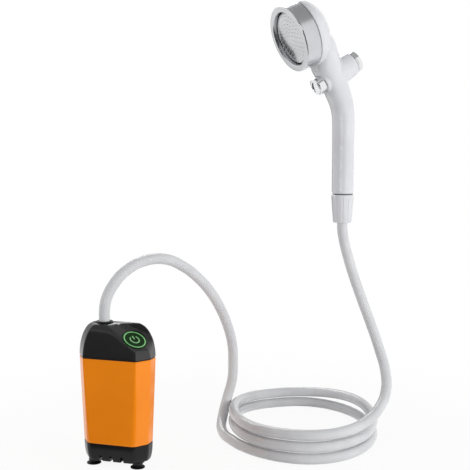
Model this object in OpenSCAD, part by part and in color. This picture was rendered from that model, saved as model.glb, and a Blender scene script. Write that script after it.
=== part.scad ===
// Rechargeable camp shower: a standing pump, its hose with a coil, and a hand shower.
// Millimetres. The origin is on the floor under the middle of the pump, +Z up,
// and the pump's wide front faces -Y.

/* [Pump body] */
// Width of the body at its upper edge
body_top_w = 76; // [73:0.5:84]
// Depth of the body at its upper edge
body_top_d = 41; // [40:0.5:50]
// Width of the body at its lower edge
body_base_w = 69; // [67:0.5:78]
// Depth of the body at its lower edge
body_base_d = 39; // [38:0.5:48]
// Height of the body shell's lower edge above the floor
shell_z0 = 23.5; // [22:0.5:26]
// Height of the body shell from edge to edge
shell_h = 85; // [82:0.5:100]
// Wall of the body shell
shell_wall = 2; // [1.6:0.1:2.4]
// Corner cut along the wide side
cut_w = 10; // [8:0.5:12]
// Corner cut along the narrow side, at the upper edge
cut_d = 14; // [11:0.5:15]
// Corner cut along the narrow side, at the lower edge
cut_d_base = 13; // [11:0.5:14]
// Rounding of the section's corners at the upper edge
round_top = 1.2; // [0.8:0.1:4]
// Rounding of the section's corners at the lower edge
round_base = 8; // [3:0.5:9]
// Width of the ledge inside the lower edge
ledge_w = 4; // [3:0.5:4.5]
// Height of that ledge
ledge_h = 4.5; // [3.5:0.5:6]

/* [Cap] */
// Height of the cap above the seal
cap_h = 32; // [31:0.5:36]
// Wall of the cap
cap_wall = 3; // [2.4:0.1:3.4]
// How far the shoulders draw in at the top
cap_inset = 13.2; // [11:0.2:14]
// Corner cut along the wide side at the top of the cap
cap_cut_w = 7; // [5:0.5:9]
// Corner cut along the narrow side at the top of the cap
cap_cut_d = 5; // [3.5:0.5:5.5]
// Length of the spigot that goes down into the body
spigot_h = 5; // [4:0.5:7]
// Thickness of the seal between the cap and the body
seal_t = 1; // [0.6:0.1:1.6]

/* [Power button] */
// Radius of the button
button_r = 12.2; // [10:0.1:12.6]
// Travel of the button
button_travel = 0.8; // [0.5:0.1:1]
// How far the button stands proud of its slanted face
button_proud = 0.6; // [0.3:0.1:1]
// Radius of the middle of the lit ring
ring_r = 10.7; // [8.5:0.1:11]
// Width of the lit ring and of the lit symbol's strokes
stroke_w = 1; // [0.6:0.1:1.4]
// Radius of the lit symbol
symbol_r = 4.6; // [3.5:0.1:5.5]

/* [Charge port] */
// Width of the charge cover
cover_w = 14; // [13:0.5:18]
// Height of the charge cover
cover_h = 7.6; // [7:0.2:9]
// Thickness of the charge cover
cover_t = 1.7; // [1.2:0.1:2]
// Width of the charge socket's shell
socket_w = 10; // [9.6:0.1:11]
// Height of the charge socket's shell
socket_h = 4.4; // [4:0.1:5]

/* [Filter base] */
// Wall of the filter base
base_wall = 2; // [1.6:0.1:2.4]
// Thickness of its floor
base_floor = 2.5; // [2:0.1:3]
// How far the base draws in at its lower edge
base_inset = 2.5; // [1.5:0.1:3]
// Width of an intake slot
slot_w = 3.4; // [2.5:0.1:3.8]
// Height of an intake slot above the base's underside
slot_h = 6; // [4:0.5:8]
// Distance from slot to slot
slot_pitch = 11; // [9:0.5:12]
// Height of the base's underside above the floor
base_z0 = 6; // [5.5:0.5:8]

/* [Suction cups] */
// Radius of a suction cup's lip
cup_r = 7.1; // [6:0.1:7.2]
// Distance between the two front cups
cup_span_x = 47; // [40:0.5:47.5]
// Distance between the two back cups
cup_back_x = 34; // [33.5:0.5:40]
// Distance between the front and back cups
cup_span_y = 15; // [14.6:0.1:15.5]
// Radius of a cup's neck
cup_neck_r = 3; // [2.4:0.1:3.4]

/* [Motor and pump] */
// Radius of the motor
motor_r = 11.5; // [10:0.1:11.6]
// Length of the motor
motor_h = 31; // [26:0.5:38]
// Radius of the motor shaft
shaft_r = 1.5; // [1:0.1:2]
// Gap round the pump chamber, to the base
chamber_gap = 0.9; // [0.6:0.1:2]
// Height of the impeller's blades
blade_h = 5; // [3:0.5:6]
// Number of blades
blade_count = 6; // [4:1:8]
// Wall of the pump chamber
volute_wall = 2.2; // [1.8:0.1:2.6]
// Height of the pump chamber
volute_h = 12; // [11:0.5:12.2]
// Thickness of the plate that carries the motor
deck_t = 3; // [2.5:0.1:4]

/* [Battery] */
// Radius of the cell
cell_r = 9.2; // [8.5:0.1:9.3]
// Length of the cell
cell_h = 65; // [60:0.5:68]
// Height of the cradle round its foot
cradle_h = 14; // [8:0.5:20]

/* [Hose] */
// Outer diameter of the hose
hose_d = 11; // [10:0.1:11.2]
// Outer radius of the collar round the hose on the cap
collar_r = 8.6; // [7.6:0.1:9]
// Height of that collar
collar_h = 1.5; // [1.4:0.1:4]
// Radius of the riser tube inside the pump
riser_r = 3.8; // [3:0.1:4]

/* [Coil] */
// Half width of the coil at the middle of the hose
coil_half_w = 75; // [72:1:78]
// Half depth of the coil at the middle of the hose
coil_half_d = 103; // [98:1:108]
// Height from one loop of the coil to the next
coil_pitch = 12; // [11.7:0.1:14]

/* [Layout] */
// Width of the set as laid out, from the pump's middle to the hose's right side
set_w = 251.5; // [230:0.5:275]
// Depth of the set as laid out, from the pump's middle to the coil's back
set_d = 253.5; // [230:0.5:275]
// Height of the nut's lower end above the floor
hand_h = 232; // [220:0.5:245]

/* [Hand shower] */
// Diameter of the grip
grip_d = 23.4; // [22.6:0.1:27]
// Length of the straight grip above the nut
grip_h = 77; // [70:1:90]
// Radius of the spray head
head_r = 35; // [34:0.5:42]
// Depth of the chrome ring round the head
head_ring_h = 17.5; // [15:0.5:20]
// Depth of the domed shell behind the ring
head_dome_h = 23.5; // [20:0.5:28]
// Width of the ring's front rim
rim_w = 6.6; // [4:0.1:7]
// How far the spray plate lies behind the rim
plate_recess = 3; // [2:0.5:4]
// Radius of a spray hole
jet_r = 0.45; // [0.3:0.05:0.7]
// How far the rim's middle lies in front of the grip
head_reach = 66.1; // [62:0.1:70]
// How far the rim's middle lies above the grip's end
head_rise = 82.8; // [80:0.1:86]

/* [Hose nut] */
// Length of the nut
nut_h = 30; // [27:0.5:34]
// Diameter of the nut at its top
nut_top_d = 24; // [23.6:0.1:27]
// Diameter of the nut at the hose
nut_low_d = 20; // [19.4:0.1:23]
// Number of flutes round the nut
flute_count = 12; // [8:1:20]

/* [Water valve] */
// Radius of the front button
front_button_r = 9.5; // [8.5:0.1:10]
// How far the front button stands out
front_button_out = 8.5; // [7:0.1:10]
// Radius of the rear button
rear_button_r = 12; // [10.5:0.1:12.4]
// Thickness of the rear button
rear_button_t = 6.2; // [4:0.1:8]
// Travel of the valve
valve_travel = 6; // [4:0.1:6]
// Radius of the spool
spool_r = 5; // [4:0.1:5.5]

/* [Clearances] */
// Gap between faces that move past each other
move_gap = 0.3; // [0.2:0.05:0.4]
// Radial gap of a shaft or spool that runs in a bore
run_gap = 0.05; // [0.02:0.01:0.08]
// Gap between pieces that are pushed together
fit_gap = 0.15; // [0.05:0.05:0.2]

/* [Hidden] */
$fn = 64;

orange = "#f08a12";
black = "#2a2b2d";
white = "#eceef1";
chrome = "#b9bdc2";

// Heights of the pump
shell_z1 = shell_z0 + shell_h;
cap_z0 = shell_z1 + seal_t;
cap_z1 = cap_z0 + cap_h;
deck_z0 = shell_z0 + ledge_h;
deck_z1 = deck_z0 + deck_t;
base_top = shell_z0;
volute_z0 = deck_z0 - volute_h;
lip_inset = ledge_w + fit_gap;
hollow_inset = max(base_inset, lip_inset) + base_wall;

// Places inside the pump
motor_x = -3;
cell_gap = 1.6;
cell_x = motor_x + motor_r + cell_gap + cell_r;
riser_x = -20;
port_x = -13.5;
port_y = 0;
socket_x = 0;
arc_steps = 3;

// The slanted face that carries the power button, and the directions on it
face_point = [body_top_w / 2 - 17, 14.5 - body_top_d / 2, cap_z0 + 17.5];
face_turn = 57;
face_lean = 33;
// Behind the button the slanted face turns up, along the pump's wide side, to the back shoulder
face_end = button_r + 1.2;
face_rise = 58;
face_back_turn = 40;

// Levels below the slanted face
flange_t = 1.2;
flange_top = cap_wall + move_gap;
stem_end = flange_top + flange_t + 1.9;
switch_top = stem_end + button_travel + move_gap;
board_top = switch_top + 2.1;
board_t = 1.6;
holder_r = button_r + 1.6;
holder_wall = 1;

function mix(a, b, t) = a + (b - a) * t;
function unit(v) = v / norm(v);

// Section of the pump: a rectangle with cut corners, each corner rounded. The cut is the
// pair of lengths along the wide and the narrow side.
function ring_at(hw, hd, cut, rnd, inset, z) =
  let (lean = atan2(cut.x, cut.y))
  let (slant = (hw * cut.y + (hd - cut.y) * cut.x) / norm(cut))
  let (r = max(rnd - inset, 0.6))
  let (reach = [for (s = [hw, slant, hd, slant]) s - inset - r])
  let (ways = [0, lean, 90, 180 - lean, 180, 180 + lean, 270, 360 - lean, 360])
  [for (k = [0:7])
    let (a = ways[k], b = ways[k + 1])
    let (ra = reach[k % 4], rb = reach[(k + 1) % 4])
    let (cx = (ra * sin(b) - rb * sin(a)) / sin(b - a))
    let (cy = (rb * cos(a) - ra * cos(b)) / sin(b - a))
    for (j = [0:arc_steps])
      let (t = mix(a, b, j / arc_steps))
      [cx + r * cos(t), cy + r * sin(t), z]];

function body_part(z) = (z - shell_z0) / shell_h;
function body_ring(z, inset = 0, lift = 0) =
  let (t = body_part(z))
  ring_at(mix(body_base_w, body_top_w, t) / 2, mix(body_base_d, body_top_d, t) / 2,
    [cut_w, mix(cut_d_base, cut_d, t)], mix(round_base, round_top, t), inset, z + lift);
function flat_ring(z, inset) = [for (p = body_ring(z, inset)) [p.x, p.y]];

// The cap's shoulder is a quarter ellipse with a slight lean, t running up the cap
function cap_draw(t) = cap_inset * (0.78 * (1 - sqrt(1 - t * t)) + 0.22 * t);
function cap_ring(t, inset = 0) =
  ring_at(body_top_w / 2 - cap_draw(t), body_top_d / 2 - cap_draw(t),
    [mix(cut_w, cap_cut_w, t), mix(cut_d, cap_cut_d, t)], mix(round_top, round_top + 1.5, t), inset,
    cap_z0 + t * (cap_h - inset));

// The base draws in along a quarter ellipse towards its underside
function base_ring(t, inset = 0) =
  let (draw = base_inset * (1 - sqrt(1 - t * t)))
  ring_at(body_base_w / 2 - draw, body_base_d / 2 - draw, [cut_w, cut_d_base], round_base, inset,
    mix(base_top, base_z0, t));

// Solid through a list of rings, the first one lowest
module loft(rings) {
  n = len(rings[0]);
  last = len(rings) - 1;
  sides = [for (i = [0:last - 1]) for (j = [0:n - 1])
    let (k = (j + 1) % n, low = i * n, high = low + n)
    each [[low + j, high + j, high + k], [low + j, high + k, low + k]]];
  ends = [[for (j = [0:n - 1]) j], [for (j = [n - 1:-1:0]) last * n + j]];
  polyhedron(points = [for (ring = rings) each ring], faces = concat(ends, sides), convexity = 8);
}

// Directions along a route, with the first and last ones given
function directions(path, first, last) =
  [for (i = [0:len(path) - 1])
    i == 0 ? unit(first) : i == len(path) - 1 ? unit(last) : unit(path[i + 1] - path[i - 1])];
function carry(dirs, side, i = 0) =
  let (flat = unit(side - (side * dirs[i]) * dirs[i]))
  i == len(dirs) - 1 ? [flat] : concat([flat], carry(dirs, flat, i + 1));
function tube_rings(path, dirs, r, sides) =
  let (across = carry(dirs, abs(dirs[0].z) < 0.9 ? [0, 0, 1] : [1, 0, 0]))
  [for (i = [0:len(path) - 1])
    let (other = cross(dirs[i], across[i]))
    [for (j = [0:sides - 1])
      let (t = 360 * (j + 0.5) / sides)
      path[i] + r * (cos(t) * across[i] + sin(t) * other)]];
module tube(path, first, last, r, sides) {
  loft(tube_rings(path, directions(path, first, last), r, sides));
}

// Places children on the slanted face, +Z out of it, +Y up the slope
module on_face() {
  translate(face_point)
    rotate([0, 0, face_turn - 90])
      rotate([0, face_lean, 0])
        rotate([0, 0, 90])
          children();
}

module cup_places() {
  for (sx = [-1, 1])
    for (sy = [-1, 1])
      translate([sx * (sy < 0 ? cup_span_x : cup_back_x) / 2, sy * cup_span_y / 2, 0])
        children();
}

// Pump housing

module body_shell() {
  color(orange)
    difference() {
      loft([for (i = [0:4]) body_ring(shell_z0 + shell_h * i / 4)]);
      loft([body_ring(deck_z0, shell_wall), body_ring(shell_z1, shell_wall),
        body_ring(shell_z1, shell_wall, 1)]);
      translate([0, 0, shell_z0 - 1])
        linear_extrude(ledge_h + 2)
          polygon(flat_ring(shell_z0, ledge_w));
    }
}

seal_inset = 0.5;
spigot_wall = 1.2;
// The shell tapers, so the spigot is set in by what its depth loses
spigot_inset = shell_wall + fit_gap
  + max(0, body_top_w - body_base_w, body_top_d - body_base_d) / 2 * spigot_h / shell_h;
module cap_seal() {
  color("#1a1a1a")
    translate([0, 0, shell_z1])
      linear_extrude(seal_t)
        difference() {
          polygon(flat_ring(shell_z1, seal_inset));
          polygon(flat_ring(shell_z1, shell_wall));
        }
}

cap_steps = 7;
// The hollow stops one ring short of the top, under a thicker roof
module cap_form(inset) {
  low = inset > 0 ? [[for (p = cap_ring(0, inset)) [p.x, p.y, cap_z0 - 1]]] : [];
  last = inset > 0 ? cap_steps - 1 : cap_steps;
  difference() {
    loft(concat(low, [for (i = [0:last]) cap_ring(sin(90 * i / cap_steps), inset)]));
    on_face()
      translate([0, 0, -inset])
        rotate([90, 0, face_back_turn])
          linear_extrude(200, center = true)
            polygon([[-100, 0], [face_end, 0], [face_end + 100 * cos(face_rise), 100 * sin(face_rise)],
              [-100, 100 * sin(face_rise)]]);
  }
}

pocket_y = body_top_d / 2 - 3.2;
hinge_y = body_top_d / 2 - 1.1;
hinge_z = cap_z0 + 4.2;
hinge_r = 1;
cover_y0 = pocket_y + move_gap;
socket_z = hinge_z + cover_h / 2 + 0.2;
socket_deep = 8;
port_wall = 3;
module charge_pocket() {
  gap = 2 * move_gap;
  translate([socket_x - cover_w / 2 - gap, pocket_y, hinge_z - hinge_r - gap])
    cube([cover_w + 2 * gap, 20, cover_h + hinge_r + 3 * gap]);
}

module top_cap() {
  color(black)
    difference() {
      union() {
        difference() {
          cap_form(0);
          cap_form(cap_wall);
        }
        translate([0, 0, shell_z1 - spigot_h])
          linear_extrude(spigot_h + seal_t + 0.5)
            difference() {
              polygon(flat_ring(shell_z1, spigot_inset));
              polygon(flat_ring(shell_z1, spigot_inset + spigot_wall));
            }
        on_face()
          translate([0, 0, -board_top])
            cylinder(h = board_top - cap_wall + 0.6, r = holder_r + holder_wall);
        translate([port_x, port_y, boss_low])
          cylinder(h = cap_z1 - cap_wall / 2 - boss_low, r = flange_r);
        translate([socket_x - cover_w / 2 - 2, pocket_y - port_wall, cap_z0 + 0.5])
          cube([cover_w + 4, port_wall + 0.8, cover_h + hinge_r + 4.4]);
      }
      on_face() {
        translate([0, 0, -cap_wall - 1])
          cylinder(h = cap_wall + 2, r = button_r + move_gap);
        translate([0, 0, -board_top - 1])
          cylinder(h = board_top + 1 - cap_wall, r = holder_r);
      }
      translate([port_x, port_y, boss_low - 1])
        cylinder(h = cap_z1 - boss_low + 2, r = hose_d / 2 + fit_gap);
      charge_pocket();
      translate([socket_x, pocket_y - port_wall - 1, socket_z])
        rotate([-90, 0, 0])
          linear_extrude(port_wall + 2)
            socket_outline(fit_gap);
    }
}

module socket_outline(grow) {
  r = socket_h / 2;
  offset(delta = grow)
    hull()
      for (s = [-1, 1])
        translate([s * (socket_w / 2 - r), 0])
          circle(r, $fn = 24);
}

module charge_socket() {
  lip = 0.6;
  color(chrome)
    translate([socket_x, pocket_y - socket_deep, socket_z])
      rotate([-90, 0, 0])
        difference() {
          linear_extrude(socket_deep)
            socket_outline(0);
          translate([0, 0, 2])
            linear_extrude(socket_deep)
              socket_outline(-lip);
        }
}

module charge_cover() {
  color("#202123")
    translate([socket_x - cover_w / 2, 0, 0]) {
      translate([0, cover_y0, hinge_z])
        cube([cover_w, cover_t, cover_h]);
      translate([0, hinge_y, hinge_z])
        rotate([0, 90, 0])
          cylinder(h = cover_w, r = hinge_r);
      translate([cover_w / 2 - 2.5, cover_y0, hinge_z + cover_h - 1])
        cube([5, cover_t + 0.6, 1]);
    }
}

// Power button

module power_button() {
  groove = 1.2;
  color("#1d1f20")
    on_face()
      difference() {
        union() {
          translate([0, 0, -flange_top])
            cylinder(h = flange_top + button_proud, r = button_r);
          translate([0, 0, -flange_top - flange_t])
            cylinder(h = flange_t, r = button_r + 1.2);
          translate([0, 0, -stem_end])
            cylinder(h = stem_end - flange_top, r = 2);
        }
        translate([0, 0, button_proud - groove])
          light_shape(groove + 1, stroke_w + 2 * run_gap);
      }
}

symbol_gap = 80;
module light_shape(h, w) {
  difference() {
    cylinder(h = h, r = ring_r + w / 2);
    translate([0, 0, -1])
      cylinder(h = h + 2, r = ring_r - w / 2);
  }
  rotate([0, 0, 90 + symbol_gap / 2])
    rotate_extrude(angle = 360 - symbol_gap)
      translate([symbol_r - w / 2, 0])
        square([w, h]);
  translate([-w / 2, symbol_r * 0.1, 0])
    cube([w, symbol_r, h]);
}

module button_light() {
  color("#38d65a")
    on_face()
      translate([0, 0, button_proud - 1])
        light_shape(1, stroke_w);
}

module tact_switch() {
  color("#3c3f44")
    on_face() {
      translate([-3, -3, -board_top - run_gap])
        cube([6, 6, 1.4 + run_gap]);
      translate([0, 0, -board_top + 1.4])
        cylinder(h = board_top - switch_top - 1.4, r = 1.6);
    }
}

module control_board() {
  color("#1f6b3c")
    on_face()
      translate([0, 0, -board_top - board_t - run_gap])
        cylinder(h = board_t, r = holder_r + 0.4 * holder_wall);
}

// Water path in the pump

// The barb is held from below by its flange, under a boss inside the cap
boss_low = cap_z1 - 10;
flange_h = 2.4;
flange_r = hose_d / 2 + 2.5;
barb_low = boss_low - 12;
module hose_barb() {
  color("#303234")
    translate([port_x, port_y, 0]) {
      translate([0, 0, barb_low])
        cylinder(h = boss_low - barb_low, r = riser_r);
      translate([0, 0, boss_low - flange_h])
        cylinder(h = flange_h, r = flange_r);
      translate([0, 0, boss_low])
        cylinder(h = cap_z1 - boss_low, r = hose_d / 2);
    }
}

module hose_collar() {
  round_r = 1;
  inner = hose_d / 2 + move_gap;
  color("#1c1d1f")
    translate([port_x, port_y, cap_z1])
      rotate_extrude()
        polygon(concat([[inner, 0], [collar_r, 0]],
          [for (t = [0:15:90])
            [collar_r - round_r + round_r * cos(t), collar_h - round_r + round_r * sin(t)]],
          [[inner, collar_h]]));
}

// The riser leaves the plate upright, leans across and ends upright under the barb
module riser_tube() {
  rise = barb_low - deck_z1;
  path = [for (t = [0, 0.12, 0.36, 0.46, 0.56, 0.66, 0.76, 0.88, 1])
    let (s = max(0, min(1, (t - 0.36) / 0.4)))
    let (shift = s * s * (3 - 2 * s))
    [mix(riser_x, port_x, shift), port_y * shift, deck_z1 + rise * t]];
  color("#d8dde2")
    tube(path, [0, 0, 1], [0, 0, 1], riser_r, 12);
}

volute_r = body_base_d / 2 - hollow_inset - chamber_gap;
chamber_r = volute_r - volute_wall;
impeller_r = chamber_r - 1.4;
screw_head_r = 2;
ear_r = screw_head_r + 0.8;
screw_circle = volute_r + screw_head_r + 0.2;
screw_angles = [40, 140, 220, 320];
module volute() {
  eye_r = 4.5;
  arm_r = riser_r + 1.2;
  outlet_r = riser_r - 1;
  outlet_z = volute_z0 + volute_wall + 0.6 * volute_h / 2;
  color("#33363a")
    difference() {
      union() {
        translate([motor_x, 0, volute_z0])
          cylinder(h = volute_h, r = volute_r);
        for (a = screw_angles)
          translate([motor_x + screw_circle * cos(a), screw_circle * sin(a), volute_z0 + volute_h - 5])
            cylinder(h = 5, r = ear_r);
        translate([riser_x, 0, outlet_z - arm_r])
          cylinder(h = deck_z0 - outlet_z + arm_r, r = arm_r);
        translate([riser_x, -arm_r, outlet_z - arm_r])
          cube([motor_x - riser_x, 2 * arm_r, deck_z0 - outlet_z + arm_r]);
      }
      translate([motor_x, 0, volute_z0 + volute_wall])
        cylinder(h = volute_h, r = chamber_r);
      translate([motor_x, 0, volute_z0 - 1])
        cylinder(h = volute_h, r = eye_r);
      translate([riser_x, 0, outlet_z])
        rotate([0, 90, 0])
          cylinder(h = motor_x - riser_x, r = outlet_r);
      translate([riser_x, 0, outlet_z])
        cylinder(h = deck_z0, r = outlet_r);
      screw_holes(volute_z0, deck_z0 + 1);
    }
}

screw_r = 1.2;
module screw_holes(z0, z1) {
  for (a = screw_angles)
    translate([motor_x + screw_circle * cos(a), screw_circle * sin(a), z0])
      cylinder(h = z1 - z0, r = screw_r + fit_gap);
}

module volute_screws() {
  head_h = 1.4;
  low = volute_z0 + volute_h - 5;
  color("#9aa0a6")
    for (a = screw_angles)
      translate([motor_x + screw_circle * cos(a), screw_circle * sin(a), 0]) {
        translate([0, 0, low - head_h])
          cylinder(h = head_h, r = screw_head_r);
        translate([0, 0, low])
          cylinder(h = deck_z1 - 0.8 - low, r = screw_r);
      }
}

module motor_plate() {
  color("#44484d")
    difference() {
      translate([0, 0, deck_z0])
        linear_extrude(deck_t)
          polygon(flat_ring(deck_z0, shell_wall + fit_gap));
      translate([motor_x, 0, deck_z0 - 1])
        cylinder(h = deck_t + 2, r = seal_r + fit_gap / 3);
      translate([riser_x, 0, deck_z0 - 1])
        cylinder(h = deck_t + 2, r = riser_r - 1);
      screw_holes(deck_z0 - 1, deck_z1 - 0.6);
    }
}

seal_r = shaft_r + 2.6;
seal_h = 2;
module shaft_seal() {
  color("#141414")
    translate([motor_x, 0, deck_z0])
      difference() {
        cylinder(h = seal_h, r = seal_r);
        translate([0, 0, -1])
          cylinder(h = seal_h + 2, r = shaft_r + run_gap);
      }
}

shaft_in = 8;
module motor() {
  color("#c7cacd")
    translate([motor_x, 0, deck_z1])
      difference() {
        union() {
          cylinder(h = motor_h, r = motor_r);
          translate([0, 0, -0.8])
            cylinder(h = 1, r = shaft_r + 1.6);
          translate([0, 0, motor_h])
            cylinder(h = 2, r = 4);
        }
        translate([0, 0, -2])
          cylinder(h = shaft_in + 2 + move_gap, r = shaft_r + run_gap);
      }
}

impeller_z0 = volute_z0 + volute_wall + 1;
module motor_shaft() {
  color("#d5d8da")
    translate([motor_x, 0, impeller_z0])
      cylinder(h = deck_z1 + shaft_in - impeller_z0, r = shaft_r);
}

module impeller() {
  disc_t = 1.4;
  hub_r = shaft_r + 2;
  blade_bow = impeller_r * 0.75;
  blade_t = 1.2;
  color("#e6e7e3")
    translate([motor_x, 0, impeller_z0])
      difference() {
        union() {
          cylinder(h = disc_t, r = impeller_r);
          cylinder(h = blade_h + disc_t, r = hub_r);
          for (i = [0:blade_count - 1])
            rotate([0, 0, 360 * i / blade_count])
              intersection() {
                translate([0, 0, disc_t / 2])
                  cylinder(h = blade_h + disc_t / 2 - 0.2, r = impeller_r - 0.4);
                translate([0, -blade_bow, 0])
                  difference() {
                    cylinder(h = blade_h + disc_t, r = blade_bow + blade_t / 2);
                    translate([0, 0, -1])
                      cylinder(h = blade_h + disc_t + 2, r = blade_bow - blade_t / 2);
                    translate([-2 * impeller_r, -impeller_r, -1])
                      cube([2 * impeller_r, 2 * impeller_r, blade_h + disc_t + 2]);
                  }
              }
        }
        translate([0, 0, -1])
          cylinder(h = blade_h + disc_t + 2, r = shaft_r + run_gap / 2);
      }
}

// Battery

module battery_cell() {
  cap_r = 4;
  color("#3d6fb5")
    translate([cell_x, 0, deck_z1 + cradle_floor]) {
      cylinder(h = cell_h - 1.5, r = cell_r);
      translate([0, 0, cell_h - 1.5])
        cylinder(h = 1.5, r = cap_r);
    }
}

cradle_floor = 1.4;
module battery_cradle() {
  cradle_wall = 1.1;
  color("#54585c")
    translate([cell_x, 0, deck_z1])
      difference() {
        cylinder(h = cradle_h, r = cell_r + fit_gap + cradle_wall);
        translate([0, 0, cradle_floor])
          cylinder(h = cradle_h, r = cell_r + fit_gap);
        translate([-2 * cell_r, -3, cradle_floor + 3])
          cube([4 * cell_r, 6, cradle_h]);
      }
}

// Filter base with its intake slots and suction cups

base_steps = 6;
module filter_base() {
  inner_low = base_z0 + base_floor;
  lip_h = 3;
  color(black)
    difference() {
      union() {
        loft([for (i = [base_steps:-1:0]) base_ring(sin(84 * i / base_steps) / sin(84))]);
        translate([0, 0, base_top - 1])
          linear_extrude(lip_h + 1)
            polygon(flat_ring(shell_z0, lip_inset));
      }
      translate([0, 0, inner_low])
        linear_extrude(base_top)
          polygon(flat_ring(shell_z0, hollow_inset));
      for (i = [-1:1])
        translate([i * slot_pitch - slot_w / 2, -body_base_d, base_z0 - 1])
          cube([slot_w, 2 * body_base_d, slot_h + 1]);
      cup_places()
        translate([0, 0, base_z0 - 1]) {
          cylinder(h = base_floor + 2, r = cup_neck_r + fit_gap);
          translate([0, 0, base_floor + 1])
            cylinder(h = cup_head_h + 0.5, r = cup_head_r + fit_gap);
        }
    }
}

sponge_h = volute_z0 - base_z0 - base_floor - 0.2;
module filter_sponge() {
  corner = 4;
  half_x = min(cup_span_x, cup_back_x) / 2 - cup_head_r - 1 - corner;
  half_y = body_base_d / 2 - base_inset - base_wall - 2 - corner;
  color("#4b4e52")
    translate([0, 0, base_z0 + base_floor])
      linear_extrude(sponge_h)
        offset(r = corner)
          square([2 * half_x, 2 * half_y], center = true);
}

cup_head_r = cup_neck_r + 0.8;
cup_head_h = 1.2;
module suction_cups() {
  lip_w = 1;
  neck_z = base_z0 - 3;
  hollow_h = 0.4 * neck_z;
  head_z = base_z0 + base_floor;
  color("#191a1b")
    cup_places()
      rotate_extrude($fn = 40)
        polygon(concat(
          [[cup_r - lip_w, 0], [cup_r, 0], [cup_r, 0.8]],
          [for (t = [15:25:90])
            [cup_neck_r + (cup_r - cup_neck_r) * (1 - sin(t)), 0.8 + (neck_z - 0.8) * (1 - cos(t))]],
          [[cup_r * 0.72, neck_z], [cup_r * 0.72, base_z0], [cup_neck_r, base_z0], [cup_neck_r, head_z],
            [cup_head_r, head_z], [cup_neck_r, head_z + cup_head_h], [0, head_z + cup_head_h], [0, hollow_h]],
          [for (t = [60:-20:20]) [(cup_r - lip_w) * cos(t), hollow_h * sin(t)]]));
}

// Hose

hose_r = hose_d / 2;
hose_sides = 10;
coil_mid = [set_w - 97.5, set_d - 105.5];
coil_yaw = 17;
coil_from = 205;
coil_to = 1020;
coil_low = 5.7;

// The hose's start on the floor runs wide of the loops above it, which bulge a little there
function coil_spread(a) =
  a < 262 ? 1 + 0.11 * pow((262 - a) / (262 - coil_from), 2)
  : let (d = (a % 360 - 215) / 45) abs(d) < 1 ? 1 + 0.05 * pow(1 - d * d, 2) : 1;
// One loop lifts a little off the one below at the back
function coil_lift(a) = let (t = (a - 745) / 65) abs(t) < 1 ? 4.5 * pow(1 - t * t, 2) : 0;
// Each loop lies flat, and climbs onto the one below at the back left
function coil_climb(a) =
  let (turn = (a - 460) / 360, step = floor(turn), t = min(1, (turn - step) * 360 / 100))
  step + t * t * (3 - 2 * t);
function coil_point(a) =
  let (u = coil_half_w * coil_spread(a) * cos(a), v = coil_half_d * coil_spread(a) * sin(a))
  [coil_mid.x + u * cos(coil_yaw) - v * sin(coil_yaw),
    coil_mid.y + u * sin(coil_yaw) + v * cos(coil_yaw),
    coil_low + coil_pitch * (a < 460 ? 0 : coil_climb(a)) + coil_lift(a)];
function coil_dir(a) = unit(coil_point(a + 0.5) - coil_point(a - 0.5));

coil_step = 15;
coil_turns = [for (a = [coil_from:coil_step:coil_to]) coil_point(a)];
coil_first = coil_dir(coil_from);
coil_last = coil_dir(coil_from + coil_step * (len(coil_turns) - 1));
coil_path = concat([coil_turns[0] - hose_d * coil_first], coil_turns,
  [coil_turns[len(coil_turns) - 1] + hose_d * coil_last]);

// Least gap between one loop and the next, on points of the middle line
coil_gap = min([for (i = [0:len(coil_path) - 1]) for (j = [i + 12:1:len(coil_path) - 1])
  norm(coil_path[i] - coil_path[j])]) - hose_d;
echo(coil_gap = coil_gap);

// Middle line of the hose from the pump over to the coil, as drawn
arch_drawn = [
  [port_x, port_y, cap_z1], [port_x, port_y, cap_z1 + 10], [-11.8, 1.6, 164.5], [-5.6, 7.4, 179.5], [4, 17, 192],
  [17.5, 30.5, 200], [32.5, 48, 200], [45.5, 66.5, 190.5], [56, 84, 176], [64, 100, 159],
  [70, 114, 140], [74, 127, 119], [76, 138, 96], [74.5, 146, 74], [72.4, 149, 53],
  [68.4, 143.6, 33.5], [67.9, 128.5, 16.5], [73, 109.5, 8]
];
// Middle line of the hose from the coil up to the hand shower, as drawn
rise_drawn = [
  [231, 99, 33], [241, 117, 42], [246, 136, 56], [243, 151, 75], [235, 160, 96],
  [225, 165, 121], [214.5, 165.5, 148], [205, 164, 175], [198.5, 162.4, 197], [194.8, 161, 213]
];
// The route leans over with the coil and the hand shower when they are moved
hand_at = [set_w - 58.5, set_d - 93, hand_h];
coil_move = [coil_mid.x - 154, coil_mid.y - 148, 0];
hand_move = hand_at - [193, 160.5, 232];
arch_points = [for (i = [0:len(arch_drawn) - 1])
  arch_drawn[i] + coil_move * min(1, max(0, i - 5) / 8)];
rise_points = [for (i = [0:len(rise_drawn) - 1])
  let (share = (i + 1) / len(rise_drawn))
  rise_drawn[i] + coil_move * (1 - share) + hand_move * share];

module hose_arch() {
  color(white)
    tube(concat(arch_points, [coil_path[0]]), [0, 0, 1], coil_first, hose_r, hose_sides);
}

module hose_coil() {
  color(white)
    tube(coil_path, coil_first, coil_last, hose_r, hose_sides);
}

module hose_rise() {
  end = [for (z = [-6, 0, hose_in]) hand_at + [0, 0, z]];
  color(white)
    tube(concat([coil_path[len(coil_path) - 1]], rise_points, end), coil_last, [0, 0, 1], hose_r, hose_sides);
}

// Hand shower, in a frame of its own: origin at the nut's lower end, +Z up the grip,
// -X the way that the water leaves

hand_turn = 41;
module hand() {
  translate(hand_at)
    rotate([0, 0, hand_turn])
      children();
}

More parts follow.
